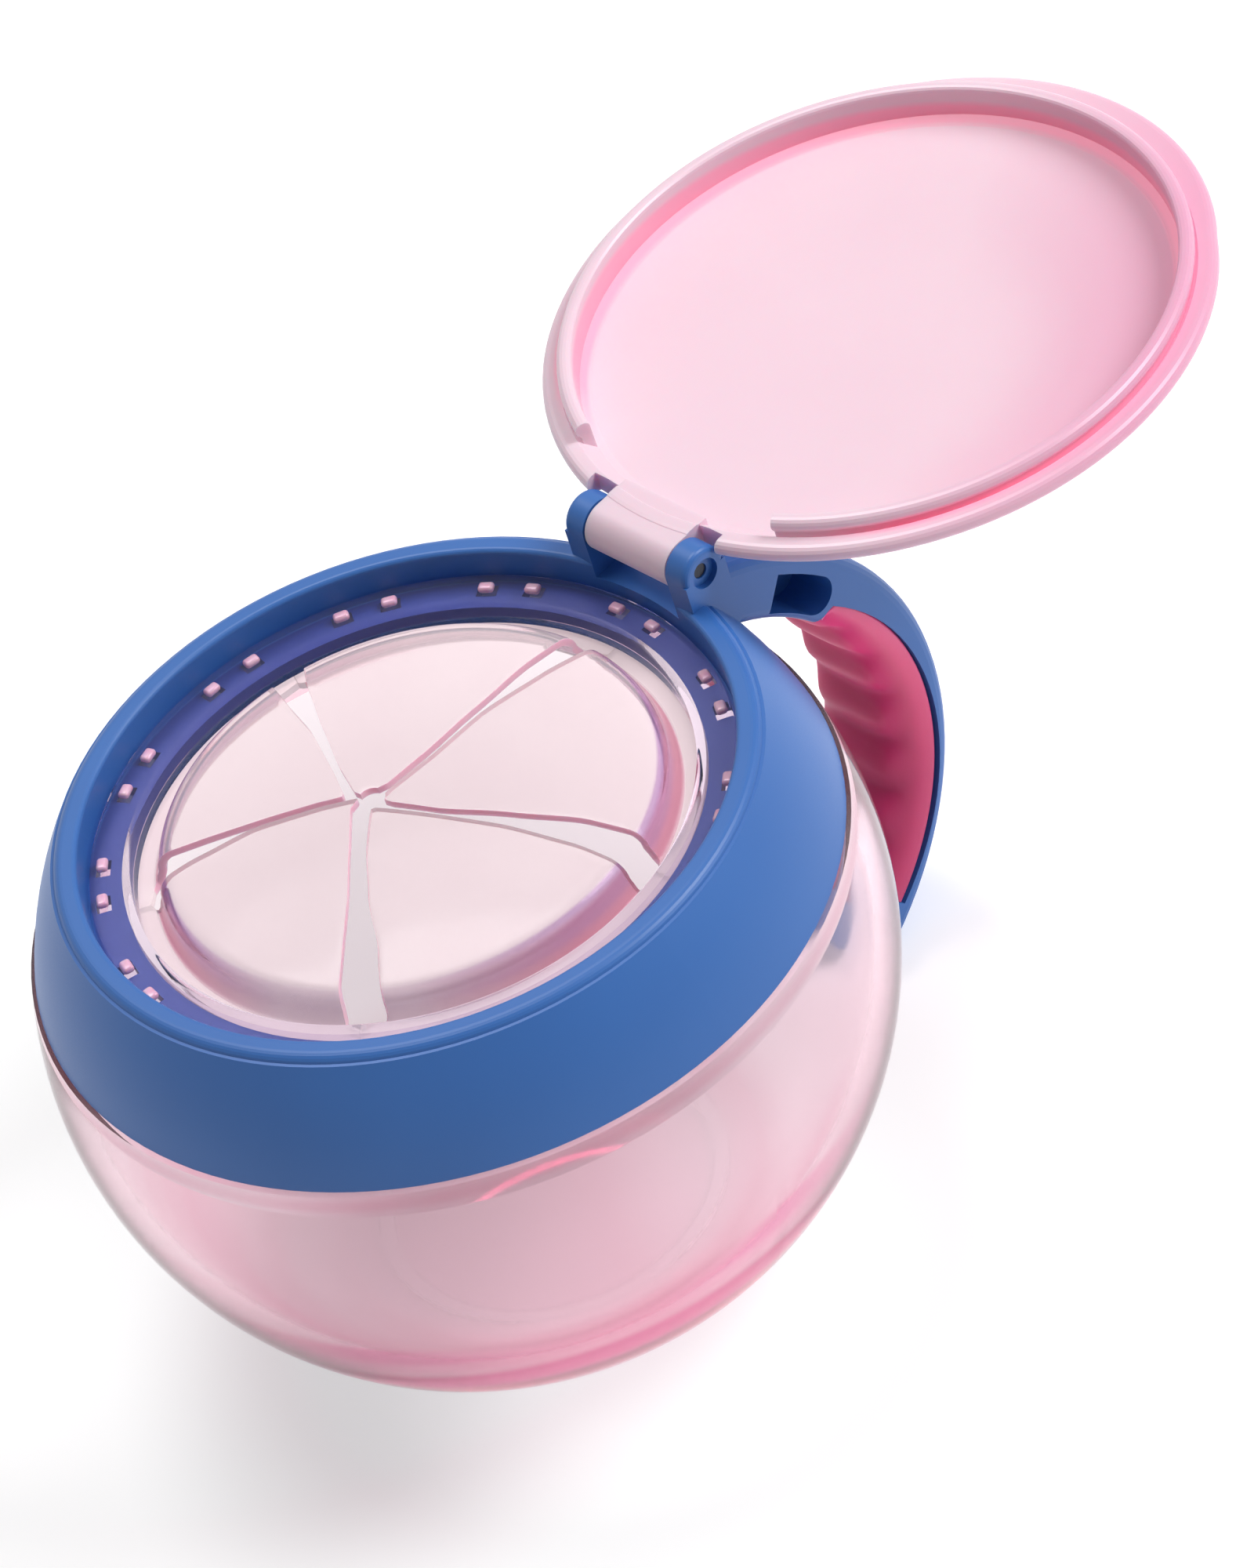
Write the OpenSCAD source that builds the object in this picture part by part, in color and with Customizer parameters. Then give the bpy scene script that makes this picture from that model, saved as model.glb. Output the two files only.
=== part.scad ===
// Toddler snack container: clear globe bowl, twist-on collar with a soft five-petal mouth,
// a flip lid on a pin hinge and a curved handle with a soft grip.
// Millimetres, +Z up, origin at the centre of the base, hinge and handle at +Y.
// The lid is drawn laid open, as the container stands with its mouth free.

/* [Bowl] */
// Outer radius of the globe
globe_r = 50; // [46:0.5:56]
// Height of the globe's centre above the base
globe_z = 42; // [38:0.5:45]
// Wall of the bowl at its widest
bowl_wall = 2.6; // [2:0.1:3.5]
// Rise of the inner sphere, which thickens the lower wall
inner_lift = 1.2; // [0:0.1:2]
// Thickness of the floor
floor_t = 3.4; // [2.4:0.1:5]
// Outer radius of the flat part of the floor groove
foot_groove_r = 22; // [18:0.5:23]
// Depth of the floor groove
foot_groove_d = 0.6; // [0.3:0.1:1]
// Wall of the neck
neck_wall = 2; // [1.6:0.1:2.4]
// Radial height of a locking lug
lug_h = 0.9; // [0.7:0.1:1]
// Thickness of a locking lug
lug_t = 1.4; // [1:0.1:1.6]
// Angle that a locking lug spans
lug_span = 38; // [30:1:40]
// Number of locking lugs
lug_count = 4; // [3:1:4]
// Half of the height between the locking lugs of the neck and those of the collar
lug_gap = 0.2; // [0.15:0.05:0.4]

/* [Collar] */
// Height of the collar's lower edge above the globe's centre
collar_rise = 13.5; // [11:0.5:15]
// Height of the collar from its lower edge to its lip
collar_h = 14.4; // [13:0.2:16]
// How far the collar lies inside the globe's outline
collar_inset = 0.4; // [0.2:0.1:1]
// Least wall of the collar, where it passes the neck's top
collar_wall = 0.9; // [0.7:0.1:1.6]
// Width of the collar's lip at its top
lip_w = 2.7; // [2:0.1:3.5]
// Depth of the flange below the lip
flange_drop = 4; // [3.4:0.1:4.6]
// Thickness of the flange
flange_t = 2.4; // [1.8:0.1:2.8]
// Width of the flange, from the lip in to the mouth
flange_w = 4.2; // [3.4:0.1:5.2]
// Play between parts that turn or move on each other
play = 0.3; // [0.2:0.05:0.4]
// Number of slot pairs in the flange
slot_pairs = 13; // [9:1:15]
// Angle from the middle of a pair to each slot
slot_half_angle = 4.6; // [4:0.1:6]
// Length of a slot round the flange
slot_l = 2.4; // [1.4:0.1:2.6]
// Width of a slot
slot_w = 1.6; // [1:0.1:1.8]
// Distance from the lip to the middle of a slot
slot_inset = 1.7; // [1.5:0.1:2.3]

/* [Hinge] */
// Distance of the hinge pin from the lip's inner edge
hinge_out = 2.6; // [2.1:0.1:3.2]
// Height of the hinge pin above the lip
hinge_rise = 3.75; // [3.5:0.05:4.4]
// Radius of an ear
ear_r = 3.2; // [2.9:0.1:3.6]
// Thickness of an ear
ear_t = 3.2; // [2.6:0.1:4]
// Rounding of an ear's outer edge
ear_round = 0.7; // [0.3:0.1:1]
// Radius of the lid's knuckle
knuckle_r = 3.1; // [2.8:0.1:3.3]
// Length of the lid's knuckle
knuckle_l = 13.2; // [11:0.2:15]
// Radius of the pin
pin_r = 0.9; // [0.7:0.05:1.2]
// Radial play of the pin in the lid's knuckle
pin_play = 0.07; // [0.05:0.01:0.1]
// Radius of the recess round the pin's end
pin_recess_r = 1.9; // [1.6:0.1:2.2]
// Depth of the recess round the pin's end
pin_recess_d = 0.8; // [0.6:0.1:1.4]
// How far the lip is cut down between the ears
hinge_cut = 2.2; // [1.6:0.1:2.6]
// Gap between the knuckle's end and each ear
knuckle_side_gap = 0.25; // [0.2:0.05:0.35]
// Gap round the knuckle, under it
knuckle_room = 0.5; // [0.4:0.05:0.6]

/* [Lid] */
// Angle between the shut and the laid-open lid
lid_open = 178.8; // [120:0.2:179]
// How far the lid's rim reaches over the lip
rim_over = 2.1; // [1.7:0.1:2.7]
// Thickness of the rim
rim_t = 2.2; // [2:0.1:2.8]
// Gap between the shut rim and the lip
rim_gap = 0.5; // [0.3:0.05:0.6]
// Thickness of the lid's disc
lid_t = 1.8; // [1.6:0.1:2.2]
// Height of the lid's floor above the rim's face, at the snap wall
floor_rise = 2.4; // [1.8:0.1:2.8]
// Rise of the lid's dome
dome_h = 2.2; // [1:0.2:4]
// Height of the snap wall below the rim
snap_h = 2.2; // [1.8:0.1:2.8]
// Thickness of the snap wall
snap_t = 1.9; // [1.6:0.1:2.4]
// Radial gap between the snap wall and the lip
snap_gap = 0.25; // [0.2:0.05:0.4]
// Half of the angle left out of the snap wall at the hinge
snap_open_angle = 25; // [22:1:35]
// Depth of the groove behind the snap bead
bead_h = 0.5; // [0.3:0.05:0.7]
// How far the thumb tab stands out of the rim
tab_out = 1.5; // [1:0.1:3]
// How much smaller the radius of the thumb tab's outline is than the rim's
tab_inset = 3.4; // [1.9:0.1:6.4]
// Rounding of the rim's edges
rim_round = 1.05; // [0.8:0.05:1.05]
// How far the knuckle's tongue reaches over the rim
tongue_l = 4.8; // [4.4:0.1:5.4]
// Slope between the snap wall and the lid's floor
floor_slope = 1.2; // [0.8:0.1:1.6]
// Room left round the ears in the laid-open lid
ear_clear = 0.45; // [0.35:0.05:0.6]

/* [Soft mouth] */
// Thickness of the soft skin on top of the flange
skin_t = 0.8; // [0.6:0.1:1]
// Thickness of the petals and of the sealing web under the flange
web_t = 1; // [0.8:0.1:1.2]
// Gap between the skin's edge and the lip
skin_gap = 0.5; // [0.3:0.05:0.7]
// Thickness of the soft lining inside the flange's hole
lining_t = 1.1; // [0.8:0.1:1.3]
// Number of petals
petals = 5; // [5:1:5]
// Width of the ring that carries the petals, from the mouth in to their bend
ring_w = 2.7; // [2.4:0.1:3.1]
// Gap on each side of the bend
bend_gap = 0.4; // [0.35:0.05:0.45]
// Height of the petals' side wall
petal_wall_h = 4.4; // [3.6:0.1:4.8]
// Rise of the petals from their shoulder to the middle
petal_rise = 1.8; // [1:0.1:2]
// Radius of the petals' rounded shoulder
shoulder_r = 2.6; // [2:0.1:3]
// How far the petals' side wall leans in
petal_lean = 1.2; // [0.8:0.1:1.6]
// Radius of the small hole where the slits meet
slit_hole_r = 1.4; // [1:0.1:1.8]
// Where the slits meet, left or right of the middle
slit_x = -2.2; // [-3:0.1:3]
// Where the slits meet, in front of or behind the middle
slit_y = -3.2; // [-4:0.1:4]
// Width of a slit where they meet
slit_w_in = 1.1; // [1:0.1:1.6]
// Width of a slit at the bend
slit_w_out = 5; // [2.6:0.1:6]

/* [Handle] */
// Distance of the handle's centre of curvature inside the globe's back
handle_sink = 19.1; // [17:0.1:21]
// Distance of the handle's centre of curvature below the globe's centre
handle_drop = 8.8; // [6:0.1:10]
// Outer radius of the handle's curve
handle_r = 39.5; // [37:0.1:40.5]
// Thickness of the handle's arm
handle_t = 8.6; // [8:0.1:9.4]
// Width of the handle
handle_w = 16; // [14:0.5:18]
// Rounding of the handle's edges
handle_round = 1.6; // [1:0.1:2.4]
// Angle below the level at which the handle ends
handle_end = 53; // [40:1:53]
// Angle above the level at which the soft grip starts
grip_start = 39; // [34:1:40]
// Angle below the level at which the soft grip ends
grip_end = 49; // [36:1:50]
// Thickness of the spine where it is thinnest behind the grip
spine_t = 1.8; // [1.4:0.1:3]
// Radius of the grip's back
grip_back_r = 31; // [29:0.5:33]
// Angle below the level at which the spine is thinnest
spine_angle = 25; // [15:1:35]
// Radius of the grip's upper end
grip_end_r = 4.9; // [4:0.1:5.2]
// Rounding of the grip's edges under the fingers
grip_round = 5.4; // [2:0.1:6]
// How far the finger ridges stand out of the arm's inner curve
ridge_out = 0.5; // [0.2:0.1:1]
// Depth of the valleys between the finger ridges
ridge_h = 1.1; // [0.6:0.1:1.4]
// Radius of a finger ridge
ridge_r = 6; // [5:0.1:8]
// Angle from one finger ridge to the next
ridge_pitch = 12.8; // [11:0.1:14]
// Number of finger ridges
ridge_count = 7; // [5:1:7]
// Depth of the pocket in each side of the arm
pocket_d = 6.6; // [4:0.1:6.8]
// Upper angle of the pocket
pocket_a1 = 55.2; // [52:0.2:58]
// Lower angle of the pocket
pocket_a0 = 42.4; // [42:0.1:46]
// Width of the pocket across the arm
pocket_w = 4.9; // [4:0.1:5.2]
// Wall between the pocket and the arm's inner curve
pocket_wall = 0.9; // [0.8:0.1:1.6]

/* [Hidden] */
$fn = 96;
bowl_color = [0.87, 0.67, 0.72, 0.6];
blue_color = [0.22, 0.39, 0.69];
lid_color = [0.95, 0.76, 0.85];
grip_color = [0.78, 0.24, 0.42];
soft_color = [0.92, 0.78, 0.81, 0.8];
pin_color = [0.75, 0.76, 0.78];

inner_r = globe_r - bowl_wall;
inner_z = globe_z + inner_lift;
shell_r = globe_r - collar_inset;
collar_z = globe_z + collar_rise;
lip_z = collar_z + collar_h;
flange_top = lip_z - flange_drop;
flange_z = flange_top - flange_t;
// The collar follows the globe, and the lip, flange, mouth and hinge follow each other inwards
collar_in = outline_r(flange_z) - collar_wall;
lip_in_r = outline_r(lip_z) - lip_w;
mouth_r = lip_in_r - flange_w;
slot_r = lip_in_r - slot_inset;
bend_r = mouth_r - ring_w;
// The neck and its lugs turn inside the collar
neck_r = collar_in - lug_h - play;
neck_in = neck_r - neck_wall;
ledge_z = collar_z - play;
neck_top = flange_z - web_t - play;
lug_z = (ledge_z + neck_top) / 2;
hinge_y = lip_in_r + hinge_out;
hinge_z = lip_z + hinge_rise;
ear_x = knuckle_l / 2 + knuckle_side_gap;
ear_out = ear_x + ear_t;
pin_l = 2 * (ear_out - pin_recess_d) - 0.4;
rim_r = lip_in_r + rim_over;
tab_r = rim_r - tab_inset;
rim_z = lip_z + rim_gap;
snap_out = lip_in_r - snap_gap;
snap_in = snap_out - snap_t;
floor_z = rim_z + floor_rise;
handle_y = globe_r - handle_sink;
handle_z = globe_z - handle_drop;
handle_in = handle_r - handle_t;
far = 200;

// Radius of the collar's outline at the height z
function outline_r(z) = sqrt(pow(shell_r, 2) - pow(z - globe_z, 2));
// Points of an arc, from angle a0 to a1 about c
function arc(c, r, a0, a1, n) =
  [for (i = [0 : n]) let (a = a0 + (a1 - a0) * i / n) [c[0] + r * cos(a), c[1] + r * sin(a)]];
// Radius of a shallow dome of height h over a disc of radius r
function cap_r(r, h) = (r * r + h * h) / (2 * h);
// Angle that a dome of radius R spans from its axis out to the radius r
function cap_a(R, r) = asin(r / R);

// A wedge of the plane between two angles
module wedge(a0, a1, r = far) {
  polygon(concat([[0, 0]], arc([0, 0], r, a0, a1, 8)));
}

// A ring between two radii and two heights
module ring(r0, r1, z0, z1) {
  translate([0, 0, z0]) difference() {
    cylinder(r = r1, h = z1 - z0);
    translate([0, 0, -1]) cylinder(r = r0, h = z1 - z0 + 2);
  }
}

// Lugs round a neck, spaced evenly, each centred on its angle
module lugs(r0, r1, z0, turn) {
  for (i = [0 : lug_count - 1])
    rotate([0, 0, turn + i * 360 / lug_count - lug_span / 2])
      rotate_extrude(angle = lug_span) translate([r0, z0]) square([r1 - r0, lug_t]);
}

// Turns a drawing in the plane of the handle into a solid of the given width
module upright(w) {
  translate([0, handle_y, handle_z]) rotate([90, 0, 90]) linear_extrude(w, center = true) children();
}

module bowl() {
  color(bowl_color) {
    difference() {
      rotate_extrude() difference() {
        union() {
          intersection() {
            translate([0, globe_z]) circle(globe_r);
            square([globe_r + 1, ledge_z]);
          }
          translate([0, ledge_z - 2]) square([neck_r, neck_top - ledge_z + 2]);
        }
        intersection() {
          translate([0, inner_z]) circle(inner_r);
          translate([0, floor_t]) square([globe_r, ledge_z - 4.5 - floor_t]);
        }
        // The inside narrows to the neck along a short slope
        polygon([[0, ledge_z - 5], [inner_edge(), ledge_z - 5], [inner_edge(), ledge_z - 4.5],
          [neck_in, ledge_z - 1.5], [neck_in, neck_top + 1], [0, neck_top + 1]]);
        translate([-globe_r, 0]) square([globe_r, far]);
      }
      ring(foot_groove_r - 2, foot_groove_r, -1, foot_groove_d);
    }
    lugs(neck_r - 0.4, neck_r + lug_h, lug_z + lug_gap, 45);
  }
}

// Radius of the bowl's inside at the foot of the neck's slope
function inner_edge() = sqrt(pow(inner_r, 2) - pow(ledge_z - 4.5 - inner_z, 2));

// Outline of the handle's curve in its own plane
module handle_outline() {
  middle = handle_r - handle_t / 2;
  difference() {
    intersection() {
      circle(handle_r);
      wedge(-handle_end, 82, handle_r * 2);
    }
    circle(handle_in);
  }
  translate([middle * cos(handle_end), -middle * sin(handle_end)]) circle(handle_t / 2);
}

// The grip's back, an arc that nears the handle's outer curve at the spine's thinnest place
module grip_back(grow) {
  off = handle_r - spine_t - grip_back_r;
  translate(off * [cos(spine_angle), -sin(spine_angle)]) circle(grip_back_r + grow);
}

// Extent of the grip along the handle, with a rounded upper end
module grip_extent(grow) {
  end_a = grip_start - 10;
  wedge(-grip_end, end_a, far / 2);
  translate((handle_in + 0.2) * [cos(end_a), sin(end_a)]) circle(grip_end_r + grow);
}

// Seat of the grip, cut out of the handle
module grip_seat() {
  intersection() {
    grip_back(0.03);
    grip_extent(0.03);
  }
}

// Outline of the grip with its row of finger ridges
module grip_outline() {
  top = handle_in - ridge_out;
  intersection() {
    grip_back(0);
    grip_extent(0);
    union() {
      difference() {
        circle(far / 2);
        circle(top + ridge_h);
      }
      for (i = [0 : ridge_count - 1])
        let (a = grip_start - 7 - i * ridge_pitch)
          translate((top + ridge_r) * [cos(a), sin(a)]) circle(ridge_r);
    }
  }
}

// Turned solid that rounds the handle's edges, with radius c0 inside and c1 outside
module handle_section(r0, r1, c0, c1) {
  h = handle_w / 2;
  translate([0, handle_y, handle_z]) rotate([90, 0, 90])
    rotate_extrude() polygon(concat(arc([r0 + c0, -h + c0], c0, 180, 270, 6),
      arc([r1 - c1, -h + c1], c1, 270, 360, 4), arc([r1 - c1, h - c1], c1, 0, 90, 4),
      arc([r0 + c0, h - c0], c0, 90, 180, 6)));
}

// Outline of the core pocket in the side of the arm
module pocket_outline() {
  middle = handle_in + pocket_wall + pocket_w / 2;
  intersection() {
    difference() {
      circle(middle + pocket_w / 2);
      circle(middle - pocket_w / 2);
    }
    wedge(pocket_a0, pocket_a1, far / 2);
  }
  translate(middle * [cos(pocket_a0), sin(pocket_a0)]) circle(pocket_w / 2);
}

// Arm and spine, moulded in one with the collar
module handle_frame() {
  difference() {
    intersection() {
      upright(handle_w) handle_outline();
      handle_section(handle_in, handle_r, handle_round, handle_round);
    }
    upright(handle_w + 2) grip_seat();
    for (s = [-1, 1])
      translate([s * (handle_w - pocket_d + 1), 0, 0]) upright(handle_w + 2) pocket_outline();
  }
}

module collar_shell() {
  rotate_extrude() difference() {
    intersection() {
      translate([0, globe_z]) circle(shell_r);
      polygon(lip_outline());
    }
    square([collar_in, flange_z]);
    square([mouth_r, far]);
    translate([0, flange_top]) square([lip_in_r, far]);
  }
}

// Region under the lip, whose top edges are rounded
function lip_outline() =
  let (r_in = 0.6, r_out = 1.3, edge = outline_r(lip_z))
  concat([[globe_r, collar_z], [globe_r, lip_z - r_out * 1.6]],
    arc([edge - r_out * 0.75, lip_z - r_out], r_out, 20, 90, 5),
    arc([lip_in_r + r_in, lip_z - r_in], r_in, 90, 180, 4),
    [[lip_in_r, flange_top - 1], [mouth_r / 2, flange_top - 1], [mouth_r / 2, collar_z]]);

// An ear of the hinge, drawn on the right-hand side
module ear() {
  translate([ear_x, hinge_y, hinge_z]) {
    rotate([0, 90, 0]) rotate_extrude() polygon(concat([[0, 0], [ear_r, 0]],
      arc([ear_r - ear_round, ear_t - ear_round], ear_round, 0, 90, 4), [[0, ear_t]]));
    translate([0, -ear_r, flange_z - hinge_z + 0.5])
      cube([ear_t, 2 * ear_r, hinge_z - flange_z - 0.5]);
  }
}

module collar() {
  color(blue_color) difference() {
    union() {
      difference() {
        union() {
          collar_shell();
          difference() {
            handle_frame();
            cylinder(r = lip_in_r + 1, h = far);
          }
        }
        // The lip is cut down between the ears
        translate([-ear_x, 0, lip_z - hinge_cut]) cube([2 * ear_x, globe_r, far]);
      }
      ear();
      mirror([1, 0, 0]) ear();
    }
    translate([0, 0, -1]) cylinder(r = collar_in, h = flange_z + 1);
    translate([-ear_x, hinge_y, hinge_z]) rotate([0, 90, 0])
      cylinder(r = knuckle_r + knuckle_room, h = 2 * ear_x);
    translate([-far / 2, hinge_y, hinge_z]) rotate([0, 90, 0]) cylinder(r = pin_r + 0.05, h = far);
    for (s = [-1, 1])
      translate([s * ear_out, hinge_y, hinge_z]) rotate([0, 90, 0])
        cylinder(r = pin_recess_r, h = 2 * pin_recess_d, center = true);
    slots(0.05);
  }
  color(blue_color) lugs(collar_in - lug_h, collar_in + 0.5, lug_z - lug_gap - lug_t, 45);
}

// The slots in the flange, or the soft pegs that fill them
module slots(grow) {
  for (i = [0 : slot_pairs - 1])
    for (s = [-1, 1])
      rotate([0, 0, 90 + i * 360 / slot_pairs + s * slot_half_angle])
        translate([slot_r - slot_w / 2 - grow, -slot_l / 2 - grow, flange_z - 0.5])
          cube([slot_w + 2 * grow, slot_l + 2 * grow, flange_t + 1]);
}

module handle_grip() {
  color(grip_color) intersection() {
    upright(handle_w) grip_outline();
    handle_section(handle_in - ridge_out, handle_r, grip_round, handle_round);
  }
}

module flap_ring() {
  lining_in = mouth_r - lining_t;
  color(soft_color) {
    difference() {
      ring(lining_in, lip_in_r - skin_gap, flange_top, flange_top + skin_t);
      // Clear of the feet of the two ears
      for (s = [-1, 1])
        translate([s * (ear_x + ear_t / 2) - ear_t / 2 - play, hinge_y - ear_r - play, 0])
          cube([ear_t + 2 * play, far, far]);
    }
    ring(lining_in, mouth_r - 0.02, flange_z - web_t / 2, flange_top + skin_t / 2);
    ring(bend_r + bend_gap, neck_r, flange_z - web_t, flange_z);
    intersection() {
      slots(0);
      ring(lining_in, lip_in_r, flange_z - web_t / 3, flange_top + skin_t / 3);
    }
  }
}

// Half of a petal's section: side wall, rounded shoulder and shallow dome
module petal_section() {
  foot = bend_r - bend_gap;
  z0 = flange_z - web_t;
  top = z0 + web_t + petal_wall_h;
  out = foot - petal_lean;
  c_in = shoulder_r - web_t;
  R = cap_r(out - shoulder_r, petal_rise);
  a = cap_a(R, out - shoulder_r);
  polygon(concat(
    [[foot, z0], [foot, z0 + web_t]],
    arc([out - shoulder_r, top - shoulder_r], shoulder_r, 0, 90 - a, 6),
    arc([0, top + petal_rise - R], R, 90 - a, 90, 8),
    arc([0, top + petal_rise - R], R - web_t, 90, 90 - a, 8),
    arc([out - shoulder_r, top - shoulder_r], c_in, 90 - a, 0, 5),
    [[foot - web_t - petal_lean / 2, z0]]));
}

// Plan of one petal: the slits run from their meeting point to evenly spaced ends
module petal_plan(i) {
  step = 360 / petals;
  a = 90 + i * step;
  p0 = [slit_x, slit_y];
  e0 = bend_r * 1.3 * [cos(a), sin(a)];
  e1 = bend_r * 1.3 * [cos(a + step), sin(a + step)];
  difference() {
    polygon([p0, e0, 1.6 * bend_r * [cos(a + step / 2), sin(a + step / 2)], e1]);
    slit_plan(p0, e0);
    slit_plan(p0, e1);
    translate(p0) circle(slit_hole_r);
  }
}

// A slit that widens from its inner to its outer end
module slit_plan(p, e) {
  d = (e - p) / norm(e - p);
  n = [-d[1], d[0]];
  polygon([p - d - n * slit_w_in / 2, p + d * 12 - n * slit_w_in * 0.6, e - n * slit_w_out * 0.6,
    e + n * slit_w_out * 0.6, p + d * 12 + n * slit_w_in * 0.6, p - d + n * slit_w_in / 2]);
}

module flap_petal(i) {
  color(soft_color) intersection() {
    rotate_extrude() petal_section();
    translate([0, 0, flange_z - 10]) linear_extrude(40) petal_plan(i);
  }
}

module hinge_pin() {
  color(pin_color) translate([-pin_l / 2, hinge_y, hinge_z]) rotate([0, 90, 0])
    cylinder(r = pin_r, h = pin_l);
}

// The lid's disc, dome and rounded rim, drawn shut
module lid_disc() {
  c = rim_round;
  wall_top = floor_z + lid_t;
  R = cap_r(snap_in, dome_h);
  a = cap_a(R, snap_in);
  floor_edge = snap_in - floor_slope;
  ai = cap_a(R - lid_t, floor_edge);
  o = [0, wall_top + dome_h - R];
  rotate_extrude() polygon(concat(
    // From the floor a short slope leads down to the rim's face
    [[snap_in, floor_z - 0.5], [snap_out + 0.1, rim_z]],
    arc([rim_r - c, rim_z + c], c, -90, 0, 4),
    arc([rim_r - c, rim_z + rim_t - c], c, 0, 58, 4), arc(o, R, 90 - a, 90, 10),
    arc(o, R - lid_t, 90, 90 - ai, 10)));
}

// The snap wall with its bead, open towards the hinge
module snap_wall() {
  z1 = rim_z - snap_h;
  c0 = 0.6;
  c1 = 0.9;
  rotate([0, 0, 90 + snap_open_angle]) rotate_extrude(angle = 360 - 2 * snap_open_angle)
    polygon(concat([[snap_in, floor_z + 0.3]], arc([snap_in + c0, z1 + c0], c0, 180, 270, 3),
      arc([snap_out - c1, z1 + c1], c1, 270, 395, 5),
      [[snap_out - bead_h, rim_z - 0.3], [snap_out - bead_h, rim_z + 0.6]]));
}

// The thumb tab, a disc set off to the front and as thick as the rim
module lid_tab() {
  c = rim_round;
  off = rim_r + tab_out - tab_r;
  difference() {
    translate([0, -off, 0]) rotate_extrude() polygon(concat([[0, rim_z]],
      arc([tab_r - c, rim_z + c], c, -90, 0, 4),
      arc([tab_r - c, rim_z + rim_t - c], c, 0, 90, 4), [[0, rim_z + rim_t]]));
    translate([0, 0, rim_z - 1]) cylinder(r = rim_r - 2, h = rim_t + 2);
  }
}

// Everything between the knuckle's end and an ear's far side is left out of the lid
module ear_room() {
  translate([knuckle_l / 2, hinge_y - ear_r - ear_clear, 0])
    cube([ear_x + ear_t + ear_clear - knuckle_l / 2, far, far]);
}

module lid_shut() {
  difference() {
    union() {
      lid_disc();
      lid_tab();
      snap_wall();
      translate([-knuckle_l / 2, hinge_y - tongue_l, hinge_z - knuckle_r])
        cube([knuckle_l, tongue_l, knuckle_r - 0.1]);
      translate([-knuckle_l / 2, hinge_y, hinge_z]) rotate([0, 90, 0])
        cylinder(r = knuckle_r, h = knuckle_l);
    }
    ear_room();
    mirror([1, 0, 0]) ear_room();
    translate([-far / 2, hinge_y, hinge_z]) rotate([0, 90, 0])
      cylinder(r = pin_r + pin_play, h = far);
  }
}

module lid() {
  color(lid_color) translate([0, hinge_y, hinge_z]) rotate([-lid_open, 0, 0])
    translate([0, -hinge_y, -hinge_z]) lid_shut();
}

bowl();
collar();
handle_grip();
flap_ring();
flap_petal(0);  // flap_petal_1
flap_petal(1);  // flap_petal_2
flap_petal(2);  // flap_petal_3
flap_petal(3);  // flap_petal_4
flap_petal(4);  // flap_petal_5
hinge_pin();
lid();
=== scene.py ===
from math import asin, atan2, cos, degrees, hypot, pi, radians, sin, sqrt

import bmesh
import bpy
from mathutils import Matrix, Vector


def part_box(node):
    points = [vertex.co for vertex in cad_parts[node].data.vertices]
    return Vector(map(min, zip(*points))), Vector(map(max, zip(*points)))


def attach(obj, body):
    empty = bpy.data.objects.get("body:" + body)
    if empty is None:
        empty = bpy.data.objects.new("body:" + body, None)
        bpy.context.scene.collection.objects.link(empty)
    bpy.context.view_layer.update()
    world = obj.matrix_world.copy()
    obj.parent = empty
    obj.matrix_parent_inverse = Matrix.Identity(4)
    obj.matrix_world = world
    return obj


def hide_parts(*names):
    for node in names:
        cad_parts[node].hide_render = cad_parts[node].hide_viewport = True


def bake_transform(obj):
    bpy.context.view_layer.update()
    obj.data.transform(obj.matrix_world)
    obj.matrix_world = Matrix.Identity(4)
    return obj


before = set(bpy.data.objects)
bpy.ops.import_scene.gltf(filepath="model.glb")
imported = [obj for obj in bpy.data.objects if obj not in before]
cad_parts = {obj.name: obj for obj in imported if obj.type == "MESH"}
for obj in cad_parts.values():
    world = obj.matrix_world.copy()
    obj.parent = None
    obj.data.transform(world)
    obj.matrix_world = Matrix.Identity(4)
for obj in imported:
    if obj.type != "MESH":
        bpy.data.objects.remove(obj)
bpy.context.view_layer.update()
scene = bpy.context.scene
mm = 0.001
upward = (0, 0, 1)
rightward = (0.86, 0.51, 0)    # to the right in the picture
nearward = (0.51, -0.86, 0)    # towards its viewer
pinLow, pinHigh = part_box("hinge_pin")


def newMaterial(name):
    mat = bpy.data.materials.new(name)
    mat.use_nodes = True
    tree = mat.node_tree
    shader = tree.nodes["Principled BSDF"]
    coords = tree.nodes.new("ShaderNodeTexCoord")
    return mat, tree, shader, coords.outputs["Object"]


def noise(tree, vector, scale, detail=3.0, roughness=0.5):
    node = tree.nodes.new("ShaderNodeTexNoise")
    node.inputs["Scale"].default_value = scale
    node.inputs["Detail"].default_value = detail
    node.inputs["Roughness"].default_value = roughness
    tree.links.new(vector, node.inputs["Vector"])
    return node.outputs["Fac"]


def ramp(tree, fac, stops):
    node = tree.nodes.new("ShaderNodeValToRGB")
    marks = node.color_ramp.elements
    marks[0].position, marks[0].color = stops[0][0], (*stops[0][1], 1)
    marks[1].position, marks[1].color = stops[-1][0], (*stops[-1][1], 1)
    for at, colour in stops[1:-1]:
        marks.new(at).color = (*colour, 1)
    tree.links.new(fac, node.inputs["Fac"])
    return node.outputs["Color"]


def span(tree, fac, low, high):
    node = tree.nodes.new("ShaderNodeMapRange")
    node.inputs["To Min"].default_value = low
    node.inputs["To Max"].default_value = high
    tree.links.new(fac, node.inputs["Value"])
    return node.outputs["Result"]


def bump(tree, height, strength, distance):
    node = tree.nodes.new("ShaderNodeBump")
    node.inputs["Strength"].default_value = strength
    node.inputs["Distance"].default_value = distance
    tree.links.new(height, node.inputs["Height"])
    return node.outputs["Normal"]


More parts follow.
